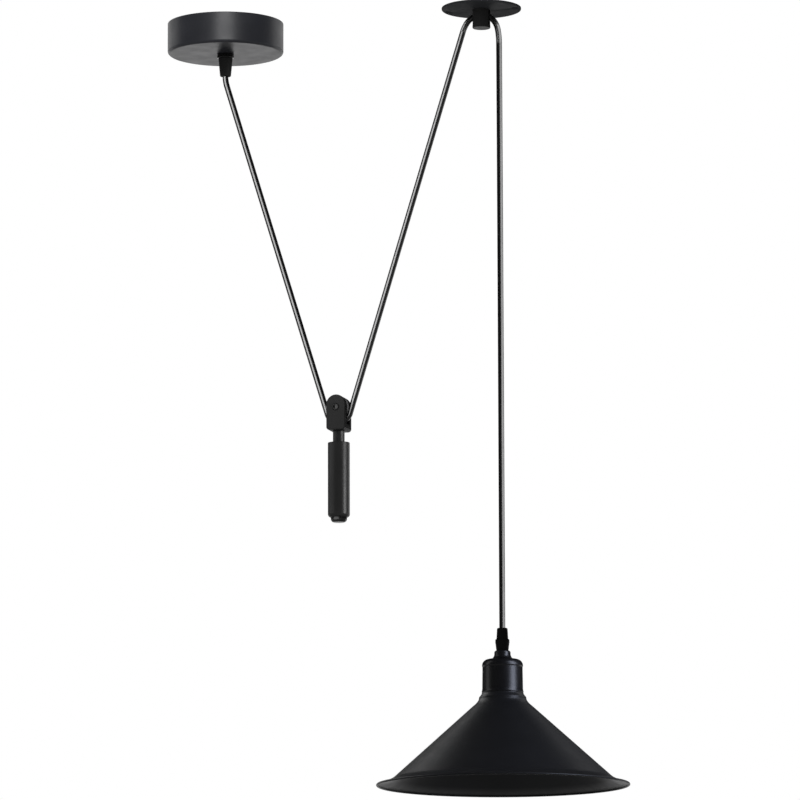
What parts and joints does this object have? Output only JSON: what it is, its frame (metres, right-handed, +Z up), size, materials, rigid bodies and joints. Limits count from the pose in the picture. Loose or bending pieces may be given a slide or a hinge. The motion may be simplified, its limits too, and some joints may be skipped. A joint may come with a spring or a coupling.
{
  "type": "rise and fall pendant",
  "caption": "Conical metal pendant lamp on a flex that runs over a ceiling guide and under a counterweight pulley, so the lamp can be raised and lowered.",
  "frame": {"origin": "centre of the canopy on the ceiling plane, half way between the two ceiling screw slots of its bracket", "axes": "+Z up, the ceiling is the plane Z = 0 and everything hangs under it; +X from the canopy to the ceiling guide; the flex lies in the plane Y = 0"},
  "size_m": [0.48, 0.255, 0.8],
  "materials": {
    "canopy_paint": "satin",
    "guide_paint": "satin",
    "block_paint": "satin",
    "weight_paint": "satin",
    "shade_paint": "satin",
    "cup_paint": "satin",
    "black_steel": "satin",
    "zinc_steel": "satin",
    "plain_brass": "satin",
    "gloss_black": "gloss",
    "black_plastic": "matte",
    "holder_plastic": "satin",
    "wheel_nylon": "satin",
    "white_nylon": "satin",
    "porcelain": "gloss",
    "black_rubber": "matte",
    "core_insulation": "gloss",
    "flex_sheath": "gloss"
  },
  "bodies": {
    "ceiling": {"canopy_cup": "canopy_paint", "ceiling_bracket": "zinc_steel", "canopy_nipple": "zinc_steel", "canopy_nuts": "zinc_steel", "grip_collar": "gloss_black", "grip_sleeve": "black_plastic", "terminal_block": "white_nylon", "terminal_clamps": "plain_brass", "clamp_screws": "zinc_steel", "block_screw": "zinc_steel", "earth_screw": "plain_brass", "canopy_cores": "core_insulation", "flex_canopy_end": "flex_sheath", "guide_plate": "guide_paint", "guide_post": "guide_paint", "post_screws": "zinc_steel", "roller_pin": "zinc_steel", "flex_left_leg": "flex_sheath", "flex_right_leg": "flex_sheath", "flex_guide_bend": "flex_sheath", "flex_lamp_drop": "flex_sheath"},
    "lamp": {"gland_cap": "black_plastic", "gland_body": "black_plastic", "gland_seal": "black_rubber", "lamp_nipple": "zinc_steel", "lamp_nuts": "zinc_steel", "earth_tag": "plain_brass", "socket_cup": "cup_paint", "holder_cap": "holder_plastic", "holder_insert": "porcelain", "holder_terminals": "plain_brass", "terminal_screws": "zinc_steel", "centre_contact": "plain_brass", "threaded_shell": "plain_brass", "holder_skirt": "holder_plastic", "shade_ring": "holder_plastic", "shade": "shade_paint", "lamp_cores": "core_insulation", "flex_lamp_end": "flex_sheath"},
    "counterweight": {"clevis": "block_paint", "pulley_bush": "plain_brass", "pulley_washers": "white_nylon", "axle_screw": "black_steel", "axle_nut": "black_steel", "stem": "weight_paint", "weight": "weight_paint", "weight_rod": "zinc_steel", "end_cap": "gloss_black", "flex_pulley_wrap": "flex_sheath"},
    "pulley_wheel": {"pulley_wheel": "wheel_nylon"},
    "guide_roller": {"guide_roller": "plain_brass"}
  },
  "joints": [
    {"name": "lamp_slide", "type": "slide", "parent": "ceiling", "child": "lamp", "axis": [0, 0, 1], "range_m": [-0.3, 0.3], "deforming": ["flex_lamp_drop"]},
    {"name": "counterweight_slide", "type": "slide", "parent": "ceiling", "child": "counterweight", "axis": [0, 0, 1], "range_m": [-0.16, 0.16], "deforming": ["flex_left_leg", "flex_right_leg"]},
    {"name": "pulley_turn", "type": "hinge", "parent": "counterweight", "child": "pulley_wheel", "pos_m": [0.1216, 0, -0.409], "axis": [0, 1, 0], "range_deg": [-670, 670]},
    {"name": "roller_turn", "type": "hinge", "parent": "ceiling", "child": "guide_roller", "pos_m": [0.274, 0, -0.013], "axis": [0, 1, 0], "range_deg": [-2700, 2700]}
  ],
  "couplings": [
    {"joint": "counterweight_slide", "follows": "lamp_slide", "ratio": -0.53},
    {"joint": "pulley_turn", "follows": "lamp_slide", "rad_per_m": 38.462},
    {"joint": "roller_turn", "follows": "lamp_slide", "rad_per_m": -153.85}
  ]
}
